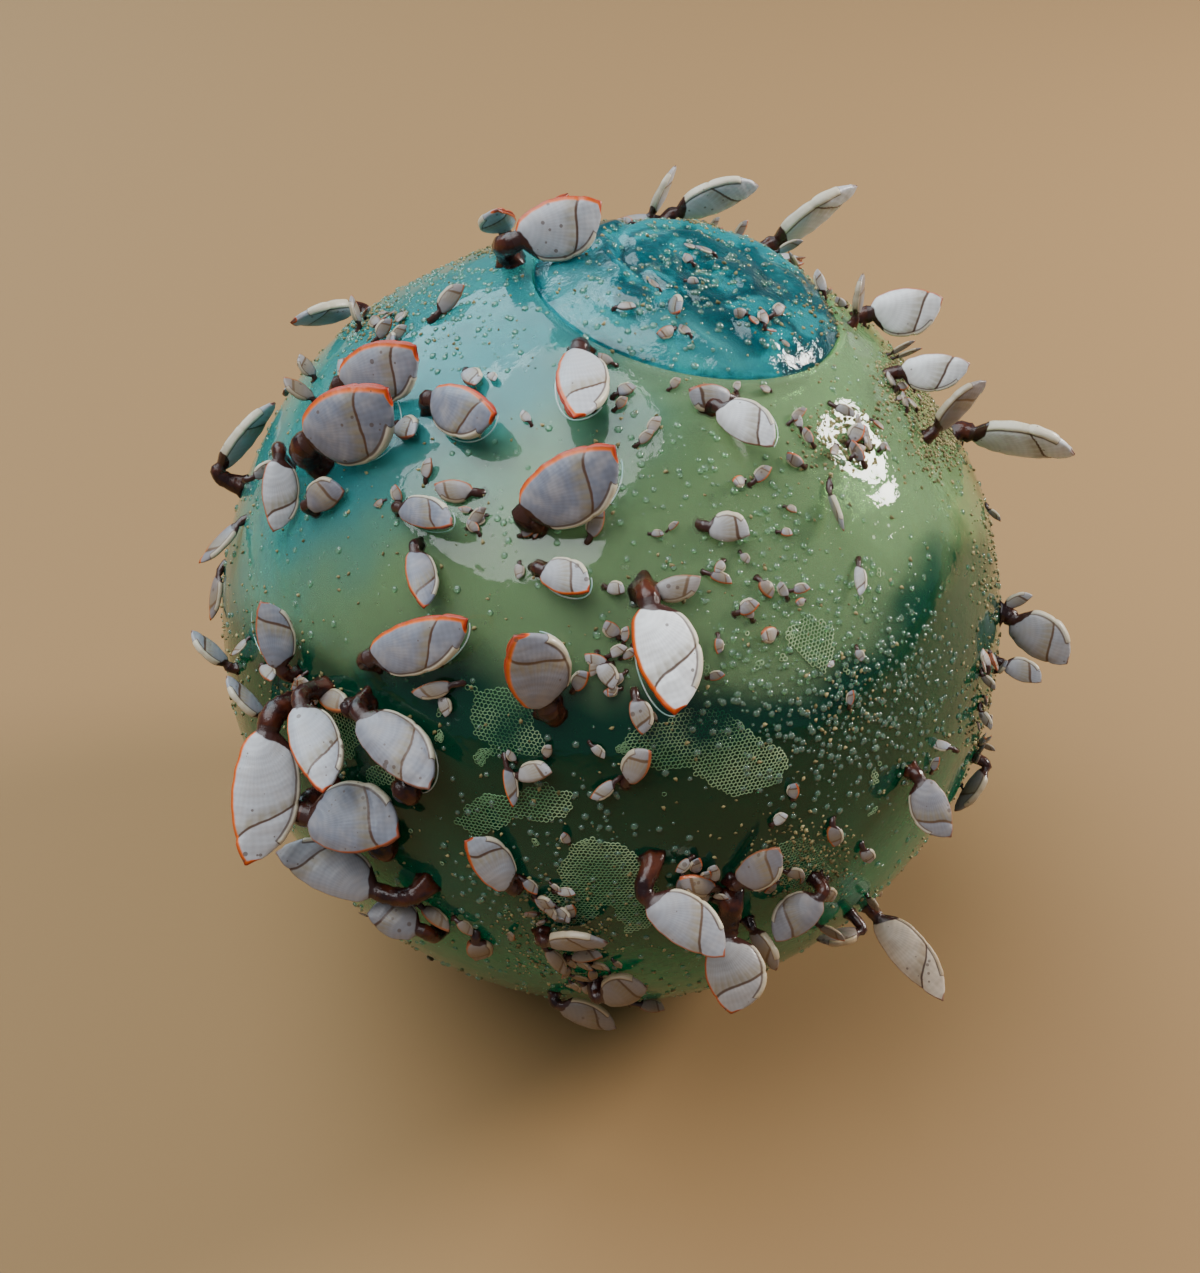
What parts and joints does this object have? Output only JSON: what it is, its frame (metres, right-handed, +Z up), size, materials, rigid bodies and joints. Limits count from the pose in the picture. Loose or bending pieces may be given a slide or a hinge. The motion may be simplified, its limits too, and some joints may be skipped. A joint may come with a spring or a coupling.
{
  "type": "glass fishing float",
  "caption": "Hand-blown glass float with a seal button, grown over with goose barnacles, resting on a small flat spot.",
  "frame": {"origin": "centre of the flat spot under the ball, on which it lies", "axes": "+Z up, away from the flat spot; -Y towards the viewer of the picture; +X to the picture's right"},
  "size_m": [0.1393, 0.1436, 0.134],
  "materials": {
    "green_glass": "gloss, wavy hand-blown surface",
    "teal_glass": "gloss, rippled",
    "barnacle_shell": "satin, finely ribbed shell plates with orange lips on dark stalks"
  },
  "bodies": {
    "root": {"float_ball": "green_glass", "seal_button": "teal_glass", "barnacle_crown_1": "barnacle_shell", "barnacle_crown_2": "barnacle_shell", "barnacle_crown_3": "barnacle_shell", "barnacle_crown_4": "barnacle_shell", "barnacle_right_shoulder_1": "barnacle_shell", "barnacle_right_shoulder_2": "barnacle_shell", "barnacle_right_shoulder_3": "barnacle_shell", "barnacle_right_shoulder_4": "barnacle_shell", "barnacle_right_shoulder_5": "barnacle_shell", "barnacle_left_shoulder_1": "barnacle_shell", "barnacle_left_shoulder_2": "barnacle_shell", "barnacle_left_shoulder_3": "barnacle_shell", "barnacle_left_shoulder_4": "barnacle_shell", "barnacle_left_shoulder_5": "barnacle_shell", "barnacle_left_shoulder_6": "barnacle_shell", "barnacle_left_shoulder_7": "barnacle_shell", "barnacle_face_1": "barnacle_shell", "barnacle_face_2": "barnacle_shell", "barnacle_face_3": "barnacle_shell", "barnacle_face_4": "barnacle_shell", "barnacle_face_5": "barnacle_shell", "barnacle_face_6": "barnacle_shell", "barnacle_face_7": "barnacle_shell", "barnacle_face_8": "barnacle_shell", "barnacle_face_9": "barnacle_shell", "barnacle_left_rim_1": "barnacle_shell", "barnacle_left_rim_2": "barnacle_shell", "barnacle_left_rim_3": "barnacle_shell", "barnacle_left_cluster_1": "barnacle_shell", "barnacle_left_cluster_2": "barnacle_shell", "barnacle_left_cluster_3": "barnacle_shell", "barnacle_left_cluster_4": "barnacle_shell", "barnacle_left_cluster_5": "barnacle_shell", "barnacle_left_cluster_6": "barnacle_shell", "barnacle_foot_cluster_1": "barnacle_shell", "barnacle_foot_cluster_2": "barnacle_shell", "barnacle_foot_cluster_3": "barnacle_shell", "barnacle_foot_cluster_4": "barnacle_shell", "barnacle_foot_cluster_5": "barnacle_shell", "barnacle_foot_cluster_6": "barnacle_shell", "barnacle_foot_cluster_7": "barnacle_shell", "barnacle_foot_cluster_8": "barnacle_shell", "barnacle_foot_cluster_9": "barnacle_shell", "barnacle_foot_cluster_10": "barnacle_shell", "barnacle_right_rim_1": "barnacle_shell", "barnacle_right_rim_2": "barnacle_shell", "barnacle_right_rim_3": "barnacle_shell", "barnacle_right_rim_4": "barnacle_shell", "barnacle_back_1": "barnacle_shell", "barnacle_back_2": "barnacle_shell", "barnacle_back_3": "barnacle_shell", "barnacle_back_4": "barnacle_shell", "barnacle_back_5": "barnacle_shell", "barnacle_back_6": "barnacle_shell", "barnacle_back_7": "barnacle_shell", "barnacle_back_8": "barnacle_shell", "barnacle_back_9": "barnacle_shell", "barnacle_back_10": "barnacle_shell"}
  },
  "joints": []
}
